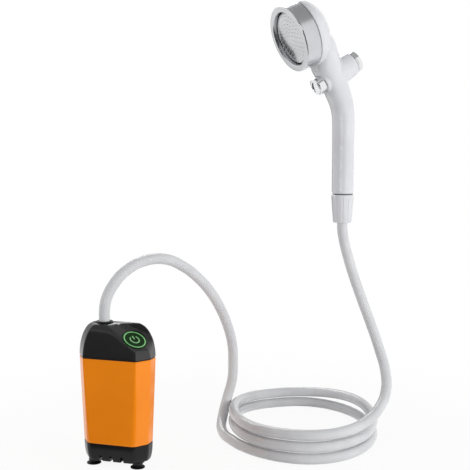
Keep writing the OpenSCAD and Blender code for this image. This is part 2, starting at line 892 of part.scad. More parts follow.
seam_gap = 1.2;
grip_z0 = nut_h + seam_gap;
grip_z1 = grip_z0 + grip_h;
hose_in = 4;
nut_lip_z = 12;
tail_flange_t = 2;
washer_z0 = nut_lip_z + 2 * move_gap + tail_flange_t;
washer_t = 2;
inlet_z0 = washer_z0 + washer_t;
inlet_r = 10;
channel_r = 6;

// Head: the axis leans down from level, and the rim's middle is set from the neck's end
head_lean = 22;
rim_mid = [-head_reach, 0, grip_z1 + head_rise];
module head() {
  translate(rim_mid)
    rotate([0, 90 - head_lean, 0])
      children();
}

// Valve: its axis crosses the neck and rises towards the back
valve_mid = [-14, 0, grip_z1 + 46.5];
valve_lean = 31.5;
module valve() {
  translate(valve_mid)
    rotate([0, 90 - valve_lean, 0])
      children();
}
bezel_z = -15;
boss_z = 26.8;
front_z0 = bezel_z - front_button_out;
front_len = front_button_out + 0.5;
front_seat = front_z0 + front_len + valve_travel + move_gap;

// Stations up the grip and neck: place across and up, half thickness, half width, lean
grip_r = grip_d / 2;
neck = [
  [0, grip_z0 - grip_z1, grip_r - 0.7, grip_r - 0.7, 0],
  [0, grip_z0 - grip_z1 + 1.5, grip_r, grip_r, 0],
  [0, -24, grip_r, grip_r, 0],
  [0, 0, grip_r + 0.3, grip_r + 0.3, 2],
  [-1, 10, grip_r + 0.5, grip_r + 0.5, 8],
  [-3, 19, grip_r + 0.9, grip_r + 1, 16],
  [-6.6, 28, grip_r + 1.5, grip_r + 1.6, 24],
  [-11, 38, grip_r + 2.3, grip_r + 2.4, 28],
  [-16.3, 47.6, grip_r + 3, grip_r + 3.4, 28],
  [-21, 56, grip_r + 4, grip_r + 5, 25],
  [-25.5, 67, grip_r + 3.5, grip_r + 8, 22],
  [-30.5, 79, grip_r + 2.6, grip_r + 10, 22],
  [-36, 92, grip_r - 2, grip_r + 6, 22]
];
neck_sides = 32;
function neck_ring(s) =
  [for (j = [0:neck_sides - 1])
    let (t = 360 * j / neck_sides)
    [s[0] + s[2] * cos(t) * cos(s[4]), s[3] * sin(t), grip_z1 + s[1] + s[2] * cos(t) * sin(s[4])]];

// A round bore from one point to another
module bore(from, to, r) {
  way = to - from;
  translate(from)
    rotate([0, acos(way.z / norm(way)), atan2(way.y, way.x)])
      cylinder(h = norm(way), r = r);
}

thread_r = head_r - 2.7;
plate_r = head_r - rim_w - 0.9;
plate_t = 2;
plate_flange_t = 1.5;
flange_z = plate_recess + plate_t;
face_seal_t = 1.2;
shell_face_z = flange_z + plate_flange_t + face_seal_t;
ring_gap = 0.4;

module dome() {
  steps = 12;
  head()
    rotate_extrude()
      polygon(concat(
        [[0, shell_face_z], [thread_r - move_gap, shell_face_z], [thread_r - move_gap, head_ring_h],
          [head_r - 0.4, head_ring_h]],
        [for (i = [0:steps])
          let (t = 90 * i / steps)
          [head_r * pow(cos(t), 0.8), head_ring_h + 0.4 + (head_dome_h - 0.4) * pow(sin(t), 1.1)]]));
}

module handle() {
  chamber_r = thread_r - 3.4;
  chamber_h = 7;
  low = [0, 0, inlet_z0 - 1];
  bend = [0, 0, grip_z1 + 10];
  crossing = valve_mid + [cos(valve_lean), 0, sin(valve_lean)] * 4;
  chamber = rim_mid + [sin(90 - head_lean), 0, cos(90 - head_lean)] * (shell_face_z + chamber_h / 2);
  color(white)
    hand()
      difference() {
        union() {
          difference() {
            loft([for (s = neck) neck_ring(s)]);
            head()
              translate([0, 0, -head_r])
                cylinder(h = head_r + head_ring_h, r = head_r + move_gap);
          }
          dome();
          translate([0, 0, inlet_z0])
            cylinder(h = grip_z0 - inlet_z0 + 1, r = inlet_r);
          valve() {
            translate([0, 0, bezel_z])
              cylinder(h = -bezel_z, r = front_button_r + 2);
            cylinder(h = boss_z, r1 = rear_button_r + 3, r2 = rear_button_r + 0.6);
          }
        }
        bore(low, bend, channel_r);
        bore(bend, crossing, channel_r - 1);
        bore(crossing, chamber, channel_r - 1);
        head()
          translate([0, 0, shell_face_z - 1])
            cylinder(h = chamber_h + 1, r = chamber_r);
        valve() {
          translate([0, 0, front_seat])
            cylinder(h = 100, r = spool_r + run_gap);
          translate([0, 0, bezel_z - 10])
            cylinder(h = front_seat - bezel_z + 10, r = front_button_r + move_gap);
        }
        translate([0, 0, inlet_z0 - 1])
          cylinder(h = filter_t + 1, r = filter_r + fit_gap);
      }
}

filter_r = channel_r + 1;
filter_t = 1.2;
module inlet_filter() {
  color("#c9ced3")
    hand()
      translate([0, 0, inlet_z0])
        difference() {
          cylinder(h = filter_t, r = filter_r);
          for (x = [-4:2:4])
            for (y = [-4:2:4])
              if (norm([x, y]) < filter_r - 1)
                translate([x, y, -1])
                  cylinder(h = filter_t + 2, r = 0.6, $fn = 8);
        }
}

module nut_washer() {
  color("#26282b")
    hand()
      translate([0, 0, washer_z0])
        difference() {
          cylinder(h = washer_t, r = inlet_r - 1.2);
          translate([0, 0, -1])
            cylinder(h = washer_t + 2, r = channel_r - 1);
        }
}

module hose_nut() {
  flute_r = 1.6;
  low_r = nut_low_d / 2;
  top_r = nut_top_d / 2;
  color(white)
    hand()
      difference() {
        rotate_extrude()
          polygon([[0, 0], [low_r - 0.8, 0], [low_r, 0.8], [top_r, nut_h - 3], [top_r, nut_h - 0.6],
            [top_r - 0.6, nut_h], [0, nut_h]]);
        translate([0, 0, -1])
          cylinder(h = nut_h + 2, r = hose_r + move_gap);
        translate([0, 0, nut_lip_z])
          cylinder(h = nut_h, r = inlet_r - 1.2 + fit_gap);
        translate([0, 0, inlet_z0 - 0.2])
          cylinder(h = nut_h, r = inlet_r + fit_gap);
        for (i = [0:flute_count - 1])
          rotate([0, 0, 360 * i / flute_count])
            bore([low_r + flute_r - 0.45, 0, -2], [top_r + flute_r - 0.45, 0, nut_h - 3], flute_r);
      }
}

module hose_tail() {
  color("#c9a24a")
    hand() {
      translate([0, 0, hose_in])
        cylinder(h = nut_lip_z + move_gap - hose_in, r = hose_r);
      translate([0, 0, nut_lip_z + move_gap])
        cylinder(h = tail_flange_t, r = inlet_r - 1.2 - move_gap);
    }
}

module head_ring() {
  lip_t = flange_z - 0.3;
  inner = head_r - rim_w;
  end = head_ring_h - ring_gap;
  color(chrome)
    hand()
      head()
        rotate_extrude()
          polygon(concat(
            [[inner, lip_t], [inner, 0.8], [inner + 0.8, 0]],
            [for (t = [0:15:90]) [head_r - 1.6 + 1.6 * sin(t), 1.6 - 1.6 * cos(t)]],
            [[head_r, end - 0.4], [head_r - 0.4, end], [thread_r, end], [thread_r, lip_t]]));
}

jet_rows = 6;
module spray_plate() {
  color("#cfd2d6")
    hand()
      head()
        difference() {
          union() {
            translate([0, 0, plate_recess])
              cylinder(h = plate_t, r = plate_r);
            translate([0, 0, flange_z])
              cylinder(h = plate_flange_t, r = thread_r - move_gap);
          }
          translate([0, 0, flange_z])
            cylinder(h = plate_flange_t + 1, r = plate_r - 2);
          for (row = [1:jet_rows])
            for (i = [0:5 * row - 1])
              rotate([0, 0, 360 * i / (5 * row)])
                translate([(plate_r - 4) * row / jet_rows, 0, 0])
                  cylinder(h = flange_z + 1, r = jet_r, $fn = 6);
        }
}

module face_seal() {
  color("#26282b")
    hand()
      head()
        translate([0, 0, flange_z + plate_flange_t])
          difference() {
            cylinder(h = face_seal_t, r = thread_r - 2 * move_gap);
            translate([0, 0, -1])
              cylinder(h = face_seal_t + 2, r = plate_r - 1.5);
          }
}

// Water valve

seal_places = [front_seat + 3, boss_z - 8];
groove_w = 1.6;
groove_deep = 1.2;
module valve_spool() {
  color("#d9dcdf")
    hand()
      valve()
        difference() {
          translate([0, 0, front_z0 + front_len])
            cylinder(h = boss_z + move_gap - front_z0 - front_len, r = spool_r);
          for (z = seal_places)
            translate([0, 0, z - groove_w / 2])
              difference() {
                cylinder(h = groove_w, r = spool_r + 1);
                cylinder(h = groove_w, r = spool_r - groove_deep);
              }
        }
}

module spool_seals() {
  seal = groove_deep / 2 - run_gap;
  color("#26282b")
    hand()
      valve()
        for (z = seal_places)
          translate([0, 0, z])
            rotate_extrude()
              translate([spool_r - groove_deep / 2, 0])
                circle(seal, $fn = 20);
}

// A button with a rounded outer edge, its face at the far end
module push_cap(r, h) {
  edge = 1.4;
  rotate_extrude()
    polygon(concat([[0, 0], [r, 0]],
      [for (t = [0:15:90]) [r - edge + edge * cos(t), h - edge + edge * sin(t)]],
      [[0, h]]));
}

module front_button() {
  color(chrome)
    hand()
      valve()
        translate([0, 0, front_z0 + front_len])
          mirror([0, 0, 1])
            push_cap(front_button_r, front_len);
}

module rear_button() {
  color(chrome)
    hand()
      valve()
        translate([0, 0, boss_z + move_gap])
          push_cap(rear_button_r, rear_button_t);
}

body_shell();
cap_seal();
top_cap();
hose_collar();
hose_barb();
riser_tube();
control_board();
tact_switch();
charge_socket();
battery_cell();
battery_cradle();
motor();
motor_plate();
shaft_seal();
volute();
volute_screws();
filter_base();
filter_sponge();
suction_cups();
motor_shaft();
impeller();
power_button();
button_light();
charge_cover();
hose_arch();
hose_coil();
hose_rise();
hose_tail();
handle();
hose_nut();
nut_washer();
inlet_filter();
head_ring();
spray_plate();
face_seal();
valve_spool();
front_button();
rear_button();
spool_seals();
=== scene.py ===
import math
import bpy
import bmesh
from mathutils import Matrix, Vector


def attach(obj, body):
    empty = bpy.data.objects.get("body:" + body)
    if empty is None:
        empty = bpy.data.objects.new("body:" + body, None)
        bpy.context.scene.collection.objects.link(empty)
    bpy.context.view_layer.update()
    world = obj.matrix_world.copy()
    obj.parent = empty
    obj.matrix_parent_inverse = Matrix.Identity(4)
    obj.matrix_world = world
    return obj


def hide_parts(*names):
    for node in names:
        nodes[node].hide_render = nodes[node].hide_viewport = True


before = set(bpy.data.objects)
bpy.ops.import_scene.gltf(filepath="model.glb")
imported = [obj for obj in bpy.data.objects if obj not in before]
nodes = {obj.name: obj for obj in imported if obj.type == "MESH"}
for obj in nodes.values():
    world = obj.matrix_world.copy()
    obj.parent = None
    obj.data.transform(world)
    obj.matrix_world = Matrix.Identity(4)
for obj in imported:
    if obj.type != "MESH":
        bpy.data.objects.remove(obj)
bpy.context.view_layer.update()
scene = bpy.context.scene
scene.view_settings.view_transform = "Standard"
mm = 0.001
print("frame loaded with", len(nodes), "nodes")


cameraSet = dict(place=(0.38325, -0.85637, 0.3264), tilt=84.0, turn=17.0, lens=73.53, sensor=36.0, clipEnd=20.0)

lensData = bpy.data.cameras.new("photoCamera")
lensData.lens = cameraSet["lens"]
lensData.sensor_width = cameraSet["sensor"]
lensData.clip_end = cameraSet["clipEnd"]
photoCamera = bpy.data.objects.new("photoCamera", lensData)
photoCamera.location = cameraSet["place"]
photoCamera.rotation_euler = (math.radians(cameraSet["tilt"]), 0.0, math.radians(cameraSet["turn"]))
scene.collection.objects.link(photoCamera)
scene.camera = photoCamera


# shader sockets that take part in sums
class Wire:
    def __init__(self, graph, socket):
        self.graph = graph
        self.socket = socket

    def maths(self, how, a, b):
        return self.graph.add("Math", {"operation": how}, {0: a, 1: b})

    def __add__(self, other):
        return self.maths("ADD", self, other)

    def __radd__(self, other):
        return self.maths("ADD", other, self)

    def __sub__(self, other):
        return self.maths("SUBTRACT", self, other)

    def __rsub__(self, other):
        return self.maths("SUBTRACT", other, self)

    def __mul__(self, other):
        return self.maths("MULTIPLY", self, other)

    def __rmul__(self, other):
        return self.maths("MULTIPLY", other, self)

    def __truediv__(self, other):
        return self.maths("DIVIDE", self, other)

    def __rtruediv__(self, other):
        return self.maths("DIVIDE", other, self)

    def __pow__(self, other):
        return self.maths("POWER", self, other)

    def between(self, low, high, toLow=0.0, toHigh=1.0):  # a smooth step
        return self.graph.add("MapRange", {"interpolation_type": "SMOOTHSTEP"}, {
            "Value": self, "From Min": low, "From Max": high, "To Min": toLow, "To Max": toHigh})


# the nodes of a material or of the world
class Graph:
    def __init__(self, tree):
        self.tree = tree

    def put(self, socket, value):
        if isinstance(value, Wire):
            self.tree.links.new(value.socket, socket)
        else:
            socket.default_value = value

    def add(self, kind, settings=None, inputs=None, output=0):
        node = self.tree.nodes.new("ShaderNode" + kind)
        for key, value in (settings or {}).items():
            setattr(node, key, value)
        for key, value in (inputs or {}).items():
            self.put(node.inputs[key], value)
        return Wire(self, node.outputs[output])

    def shown(self):  # one or more for what the camera sees, straight or in a mirror or through glass
        seen, mirrored, through = [self.add("LightPath", output=ray)
                                   for ray in ("Is Camera Ray", "Is Glossy Ray", "Is Transmission Ray")]
        return seen + mirrored + through


class Finish(Graph):
    def __init__(self, name):
        self.material = bpy.data.materials.new(name)
        self.material.use_nodes = True
        self.material.cycles.emission_sampling = "NONE"  # nothing that glows here lights the rest
        super().__init__(self.material.node_tree)
        self.skin = self.tree.nodes["Principled BSDF"]

    def place(self):
        return self.add("TexCoord", output="Object")

    def noise(self, where, scale, detail=2.0):
        return self.add("TexNoise", None, {"Vector": where, "Scale": scale, "Detail": detail})

    def tint(self, factor, a, b):  # a Mix node has its colours at 6 and 7
        return self.add("Mix", {"data_type": "RGBA"}, {0: factor, 6: a, 7: b}, output=2)

    def bump(self, height, strength, distance):
        return self.add("Bump", None, {"Strength": strength, "Distance": distance, "Height": height})

    def skinned(self, values):
        for key, value in values.items():
            self.put(self.skin.inputs[key], value)
        return self.material


def rgb(red, green, blue):
    return (red, green, blue, 1.0)


def grey(shade):
    return rgb(shade, shade, shade)


# two close tints in soft clouds, and a fine grain in the gloss and the bump
def grained(name, look, kind, more):
    finish = Finish(name)
    where = finish.place()
    cloud = finish.noise(where, look["cloud"])
    grain = finish.noise(where, look["grain"], kind["detail"])
    return finish.skinned({
        "Base Color": finish.tint(cloud.between(*kind["tints"]), look["dark"], look["light"]),
        "Roughness": look["rough"] + look["roughSwing"] * (grain - 0.5),
        "Normal": finish.bump(grain, look["bump"], kind["depth"]),
        **more,
    })


def moulded(name, look):  # plastic or rubber
    kind = dict(tints=(0.35, 0.65), detail=3.0, depth=0.2 * mm, coatRough=0.06)
    return grained(name, look, kind, {
        "Coat Weight": look.get("coat", 0.0),
        "Coat Roughness": kind["coatRough"],
        "Specular IOR Level": look.get("gloss", 0.5),
    })


def metal(name, look):  # plated or turned
    kind = dict(tints=(0.3, 0.7), detail=4.0, depth=0.1 * mm)
    return grained(name, look, kind, {"Metallic": 1.0})


looks = dict(
    orangeShell=dict(dark=rgb(0.92, 0.25, 0.003), light=rgb(0.96, 0.268, 0.004), cloud=22.0, grain=1500.0,
                     rough=0.16, roughSwing=0.05, bump=0.015, gloss=0.4),
    blackCap=dict(dark=rgb(0.0095, 0.0095, 0.01), light=rgb(0.012, 0.012, 0.0125), cloud=30.0, grain=2200.0,
                  rough=0.18, roughSwing=0.06, bump=0.02, gloss=0.7),
    blackRubber=dict(dark=rgb(0.008, 0.008, 0.0085), light=rgb(0.012, 0.012, 0.0125), cloud=60.0, grain=1800.0,
                     rough=0.5, roughSwing=0.12, bump=0.08, gloss=0.25),
    greyInside=dict(dark=rgb(0.07, 0.075, 0.08), light=rgb(0.09, 0.095, 0.1), cloud=50.0, grain=1400.0,
                    rough=0.5, roughSwing=0.1, bump=0.05),
    whiteShell=dict(dark=rgb(0.65, 0.655, 0.685), light=rgb(0.685, 0.69, 0.72), cloud=25.0, grain=1600.0,
                    rough=0.17, roughSwing=0.05, bump=0.012, coat=0.3),
    nozzleSoft=dict(dark=rgb(0.5, 0.505, 0.52), light=rgb(0.58, 0.585, 0.6), cloud=80.0, grain=1500.0,
                    rough=0.45, roughSwing=0.1, bump=0.05),
    hosePvc=dict(dark=rgb(0.62, 0.625, 0.645), light=rgb(0.66, 0.665, 0.68), cloud=45.0, grain=420.0,
                 rough=0.14, roughSwing=0.03, bump=0.0015, gloss=0.4),
)
looks["blackBase"] = dict(looks["blackCap"], gloss=0.2)  # the base is duller than the cap

metalLooks = dict(
    chromeTrim=dict(dark=rgb(0.60, 0.61, 0.63), light=rgb(0.66, 0.67, 0.69), cloud=30.0, grain=700.0,
                    rough=0.26, roughSwing=0.05, bump=0.01),
    brightChrome=dict(dark=rgb(0.78, 0.79, 0.80), light=rgb(0.84, 0.85, 0.86), cloud=30.0, grain=700.0,
                      rough=0.06, roughSwing=0.03, bump=0.005),
    sprayFace=dict(dark=rgb(0.56, 0.565, 0.58), light=rgb(0.61, 0.615, 0.63), cloud=60.0, grain=1500.0,
                   rough=0.17, roughSwing=0.06, bump=0.02),
    plainSteel=dict(dark=rgb(0.52, 0.53, 0.55), light=rgb(0.6, 0.61, 0.63), cloud=60.0, grain=900.0,
                    rough=0.3, roughSwing=0.1, bump=0.04),
    turnedBrass=dict(dark=rgb(0.6, 0.42, 0.16), light=rgb(0.68, 0.5, 0.2), cloud=60.0, grain=900.0,
                     rough=0.25, roughSwing=0.1, bump=0.04),
)

paints = {name: moulded(name, look) for name, look in looks.items()}
paints.update({name: metal(name, look) for name, look in metalLooks.items()})


# the slanted face that carries the power button
faceSet = dict(point=Vector((0.021, -0.006, 0.127)), turn=57.0, lean=33.0, buttonR=12.2 * mm, gap=0.3 * mm,
               ringR=10.7 * mm, symbolR=4.6 * mm, end=13.4 * mm, rise=58.0, backTurn=40.0, backSoft=3.0 * mm,
               clear=6.0 * mm)
turnBack = math.radians(faceSet["turn"] - 90.0)
faceLean = math.radians(faceSet["lean"])
faceOut = Vector((math.sin(faceLean) * math.cos(turnBack), math.sin(faceLean) * math.sin(turnBack),
                  math.cos(faceLean)))
faceSide = Vector((-math.sin(turnBack), math.cos(turnBack), 0.0))
faceUp = faceOut.cross(faceSide)


# button top: black, with a painted glow where the green of the lit ring and symbol spills onto it
def buttonPaint():
    look = dict(base=rgb(0.003, 0.006, 0.003), gloss=0.1, rough=0.3, roughSwing=0.1, grain=2200.0,
                spill=rgb(0.0, 0.034, 0.001), spillW=2.4 * mm, inner=0.8, spillAt=(0.1, 1.3))
    finish = Finish("buttonTop")
    where = finish.place()
    grain = finish.noise(where, look["grain"], 3.0)
    flat = finish.add("VectorMath", {"operation": "SUBTRACT"}, {0: where, 1: faceSet["point"]})
    across, upward = [finish.add("VectorMath", {"operation": "DOT_PRODUCT"}, {0: flat, 1: way}, output="Value")
                      for way in (faceSide, faceUp)]
    outward = (across * across + upward * upward) ** 0.5
    fromRing, fromSymbol = [(outward - faceSet[r]) / look["spillW"] for r in ("ringR", "symbolR")]
    glow = 1.0 / (1.0 + fromRing * fromRing) + 1.0 / (1.0 + fromSymbol * fromSymbol) * look["inner"]
    return finish.skinned({
        "Base Color": look["base"],
        "Specular IOR Level": look["gloss"],
        "Roughness": look["rough"] + look["roughSwing"] * (grain - 0.5),
        # painted glow: green emission fading out from the lit ring and the symbol
        "Emission Color": finish.tint(glow.between(*look["spillAt"]), grey(0.0), look["spill"]),
        "Emission Strength": 1.0,
    })


# lit ring and symbol, a little uneven
def lightPaint():
    look = dict(base=rgb(0.03, 0.14, 0.05), dim=rgb(0.18, 0.43, 0.16), bright=rgb(0.28, 0.55, 0.25), drift=260.0,
                strength=0.85, rough=0.3)
    finish = Finish("greenLight")
    drift = finish.noise(finish.place(), look["drift"])
    return finish.skinned({
        "Base Color": look["base"],
        "Roughness": look["rough"],
        "Emission Color": finish.tint(drift.between(0.3, 0.7), look["dim"], look["bright"]),
        "Emission Strength": look["strength"],
    })


# board, cell and sponge: fine tracks, a creased wrap and open cells; the wrap's creases and the sponge's pores are
# darkened with painted shade
def boardPaint():
    look = dict(mask=rgb(0.02, 0.13, 0.05), track=rgb(0.04, 0.22, 0.09), scale=120.0, wander=3.0, rough=0.35)
    finish = Finish("boardMask")
    tracks = finish.add("TexWave", {"wave_type": "BANDS"}, {
        "Vector": finish.place(), "Scale": look["scale"], "Distortion": look["wander"]}, output=1)
    return finish.skinned({
        "Base Color": finish.tint(tracks.between(0.6, 0.8), look["mask"], look["track"]),
        "Roughness": look["rough"],
    })


def wrapPaint():
    look = dict(dark=rgb(0.05, 0.14, 0.38), light=rgb(0.08, 0.2, 0.48), scale=140.0, bump=0.15, depth=0.3 * mm,
                rough=0.3)
    finish = Finish("cellWrap")
    creases = finish.noise(finish.place(), look["scale"], 4.0)
    return finish.skinned({
        # painted shade: the low parts of the creases, where the bump sinks, are darker
        "Base Color": finish.tint(creases.between(0.3, 0.7), look["dark"], look["light"]),
        "Roughness": look["rough"],
        "Normal": finish.bump(creases, look["bump"], look["depth"]),
    })


def spongePaint():
    look = dict(poreShade=rgb(0.015, 0.016, 0.017), rim=rgb(0.09, 0.093, 0.1), scale=700.0, bump=0.6, depth=0.6 * mm,
                rough=0.9)
    finish = Finish("openSponge")
    cells = finish.add("TexVoronoi", None, {"Vector": finish.place(), "Scale": look["scale"]})
    return finish.skinned({
        # painted shade: the pores' middles, where the bump sinks, are darker
        "Base Color": finish.tint(cells.between(0.1, 0.5), look["poreShade"], look["rim"]),
        "Roughness": look["rough"],
        "Normal": finish.bump(cells, look["bump"], look["depth"]),
    })


paints.update(buttonTop=buttonPaint(), greenLight=lightPaint(), boardMask=boardPaint(), cellWrap=wrapPaint(),
              openSponge=spongePaint())
print("finishes made:", len(paints))


# a piece's finish, the body it moves with, its material slot (not used) and the nodes it stands for
def dress(piece, paint, body, slot, *stoodFor):
    piece.data.materials.clear()
    piece.data.materials.append(paints[paint])
    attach(piece, body)
    if stoodFor:
        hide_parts(*stoodFor)


# hose: one curve from the pump over the arch, round the coil and up to the hand shower

hoseSet = dict(diameter=11.0 * mm, length=1.94, start=(-13.5, 0, 141.5), into=2.0, straight=4.0, roundness=8,
               fineness=10)
# angles run on from turn to turn; bulge and lift are humps, each with its middle and half its span
coilSet = dict(halfW=75.0, halfD=103.0, pitch=12.0, mid=(154.0, 148.0), yaw=17.0, first=205, last=1020, low=5.7,
               step=15, wideTo=262, wideBy=0.11, bulge=(215, 45), bulgeBy=0.05, lift=(745, 65), liftBy=4.5,
               climbFrom=460, climbRate=3.6)
handSet = dict(at=(193.0, 160.5, 232.0), turn=41.0, hoseIn=(-6, 0, 4))

archPoints = [
    (-13.5, 0, 151.5), (-11.8, 1.6, 164.5), (-5.6, 7.4, 179.5), (4, 17, 192), (17.5, 30.5, 200), (32.5, 48, 200),
    (45.5, 66.5, 190.5), (56, 84, 176), (64, 100, 159), (70, 114, 140), (74, 127, 119), (76, 138, 96), (74.5, 146, 74),
    (72.4, 149, 53), (68.4, 143.6, 33.5), (67.9, 128.5, 16.5), (73, 109.5, 8),
]
risePoints = [
    (231, 99, 33), (241, 117, 42), (246, 136, 56), (243, 151, 75), (235, 160, 96), (225, 165, 121),
    (214.5, 165.5, 148), (205, 164, 175), (198.5, 162.4, 197), (194.8, 161, 213),
]


def hump(angle, middle, span):  # one at the middle, nought from a span away
    away = (angle - middle) / span
    return (1 - away * away) ** 2 if abs(away) < 1 else 0


def coilPoint(angle):
    c = coilSet
    if angle < c["wideTo"]:  # the hose comes in from outside
        spread = 1 + c["wideBy"] * ((c["wideTo"] - angle) / (c["wideTo"] - c["first"])) ** 2
    else:
        spread = 1 + c["bulgeBy"] * hump(angle % 360, *c["bulge"])
    climb = 0
    if angle >= c["climbFrom"]:  # each turn steps up onto the one below
        turn = (angle - c["climbFrom"]) / 360
        t = min(1, (turn - math.floor(turn)) * c["climbRate"])
        climb = math.floor(turn) + t * t * (3 - 2 * t)
    u = c["halfW"] * spread * math.cos(math.radians(angle))
    v = c["halfD"] * spread * math.sin(math.radians(angle))
    yaw = math.radians(c["yaw"])
    return Vector((c["mid"][0] + u * math.cos(yaw) - v * math.sin(yaw),
                   c["mid"][1] + u * math.sin(yaw) + v * math.cos(yaw),
                   c["low"] + c["pitch"] * climb + c["liftBy"] * hump(angle, *c["lift"])))


def hoseRoute():
    turns = [coilPoint(a) for a in range(coilSet["first"], coilSet["last"] + 1, coilSet["step"])]
    x, y, z = hoseSet["start"]
    inPump = [(x, y, z - hoseSet["into"]), (x, y, z + hoseSet["straight"])]
    hx, hy, hz = handSet["at"]
    inNut = [(hx, hy, hz + d) for d in handSet["hoseIn"]]
    return [Vector(p) * mm for p in inPump + archPoints + turns + risePoints + inNut]


def makeHose():
    route = hoseRoute()
    curve = bpy.data.curves.new("showerHose", "CURVE")
    curve.dimensions = "3D"
    curve.bevel_depth = hoseSet["diameter"] / 2
    curve.bevel_resolution = hoseSet["roundness"]
    curve.resolution_u = hoseSet["fineness"]
    curve.use_fill_caps = True
    spline = curve.splines.new("BEZIER")
    spline.bezier_points.add(len(route) - 1)
    for point, place in zip(spline.bezier_points, route):
        point.co = place
        point.handle_left_type = point.handle_right_type = "AUTO"
    hose = bpy.data.objects.new("showerHose", curve)
    scene.collection.objects.link(hose)
    span = sum((b - a).length for a, b in zip(route, route[1:]))
    print("hose route", round(span, 3), "m")
    return hose


showerHose = makeHose()
dress(showerHose, "hosePvc", "pump", "hose_pvc", "hose_arch", "hose_coil", "hose_rise")


# meshes from rings of points

tipR = 0.05  # a turned piece ends this near its axis


def mix(a, b, t):
    return a + (b - a) * t


def level(x0, x1, y0, y1, z):
    return [(x0, y0, z), (x1, y0, z), (x1, y1, z), (x0, y1, z)]


def upright(x0, x1, y, z0, z1):
    return [(x0, y, z0), (x1, y, z0), (x1, y, z1), (x0, y, z1)]


def circle(place, radius, z, sides, middle=Vector()):
    ways = [2 * math.pi * j / sides for j in range(sides)]
    return [place @ (middle + Vector((radius * math.cos(t), radius * math.sin(t), z))) * mm for t in ways]


def sharpen(mesh, degrees):
    mesh.shade_smooth()
    mesh.set_sharp_from_angle(angle=math.radians(degrees))


def meshObject(name, verts, faces, sharpAt=32, weld=0.001 * mm):
    mesh = bpy.data.meshes.new(name)
    mesh.from_pydata([tuple(v) for v in verts], [], faces)
    mesh.validate()
    shape = bmesh.new()
    shape.from_mesh(mesh)
    bmesh.ops.remove_doubles(shape, verts=shape.verts, dist=weld)
    bmesh.ops.recalc_face_normals(shape, faces=shape.faces)
    shape.to_mesh(mesh)
    shape.free()
    sharpen(mesh, sharpAt)
    piece = bpy.data.objects.new(name, mesh)
    scene.collection.objects.link(piece)
    return piece


def loftFaces(count, rings, capped=True, closed=False):
    faces = []
    for i in range(rings if closed else rings - 1):
        for j in range(count):
            k = (j + 1) % count
            n = (i + 1) % rings
            faces.append((i * count + j, i * count + k, n * count + k, n * count + j))
    if capped and not closed:
        faces.append(tuple(range(count - 1, -1, -1)))
        faces.append(tuple((rings - 1) * count + j for j in range(count)))
    return faces


def loftObject(name, rings, closed=False):
    faces = loftFaces(len(rings[0]), len(rings), closed=closed)
    return meshObject(name, [p for ring in rings for p in ring], faces)


def turned(name, place, profile, sides=128, closed=False):  # a revolved solid, its profile as radius and height
    return loftObject(name, [circle(place, r, z, sides) for r, z in profile], closed)


def boxTool(name, low, high):
    rings = [[Vector(p) * mm for p in level(low[0], high[0], low[1], high[1], z)] for z in (low[2], high[2])]
    return loftObject(name, rings)


def evenFaces(piece):
    even = piece.modifiers.new("evenFaces", "WEIGHTED_NORMAL")
    even.keep_sharp = True
    return piece


# modifiers become part of the mesh
def settle(piece):
    depsgraph = bpy.context.evaluated_depsgraph_get()
    depsgraph.update()
    mesh = bpy.data.meshes.new_from_object(piece.evaluated_get(depsgraph))
    mesh.name = piece.name
    old = piece.data
    piece.modifiers.clear()
    piece.data = mesh
    bpy.data.meshes.remove(old)


def cutAway(piece, tools):
    for tool in tools:
        cut = piece.modifiers.new("cut", "BOOLEAN")
        cut.operation = "DIFFERENCE"
        cut.solver = "EXACT"
        cut.object = tool
    settle(piece)
    for tool in tools:
        bpy.data.objects.remove(tool)


# pump housing, in rings: a rectangle with slanted corners, rounded between its eight flats

def ringAt(halfW, halfD, cut, rounding, inset, z, steps, leastR=0.4):
    corner = math.atan2(cut[0], cut[1])
    slant = (halfW * cut[1] + (halfD - cut[1]) * cut[0]) / math.hypot(*cut)
    r = max(rounding - inset, leastR)
    reach = [s - inset - r for s in (halfW, slant, halfD, slant)]
    ways = [0, corner, math.pi / 2, math.pi - corner, math.pi, math.pi + corner, 1.5 * math.pi, 2 * math.pi - corner,
            2 * math.pi]
    ring = []
    for k in range(8):
        a, b = ways[k], ways[k + 1]
        ra, rb = reach[k % 4], reach[(k + 1) % 4]
        cx = (ra * math.sin(b) - rb * math.sin(a)) / math.sin(b - a)
        cy = (rb * math.cos(a) - ra * math.cos(b)) / math.sin(b - a)
        for j in range(steps + 1):
            t = a + (b - a) * j / steps
            ring.append(Vector((cx + r * math.cos(t), cy + r * math.sin(t), z)) * mm)
    return ring


bodySet = dict(topW=76.0, topD=41.0, baseW=69.0, baseD=39.0, z0=23.5, z1=108.5, cutW=10.0, cutD=14.0, cutDBase=13.0,
               roundTop=1.2, roundBase=8.0, wall=2.0, ledge=4.0, ledgeH=4.5, edge=1.0, levels=12, steps=8)


def bodyRing(z, inset=0.0):
    b = bodySet
    t = (z - b["z0"]) / (b["z1"] - b["z0"])
    cut = (b["cutW"], mix(b["cutDBase"], b["cutD"], t))
    return ringAt(mix(b["baseW"], b["topW"], t) / 2, mix(b["baseD"], b["topD"], t) / 2, cut,
                  mix(b["roundBase"], b["roundTop"], t), inset, z, b["steps"])


def edgeRing(z, way, degrees):  # on the rounded edge that starts at z and goes up or down from it
    a = math.radians(degrees)
    return bodyRing(z + way * bodySet["edge"] * (1 - math.sin(a)), bodySet["edge"] * (1 - math.cos(a)))


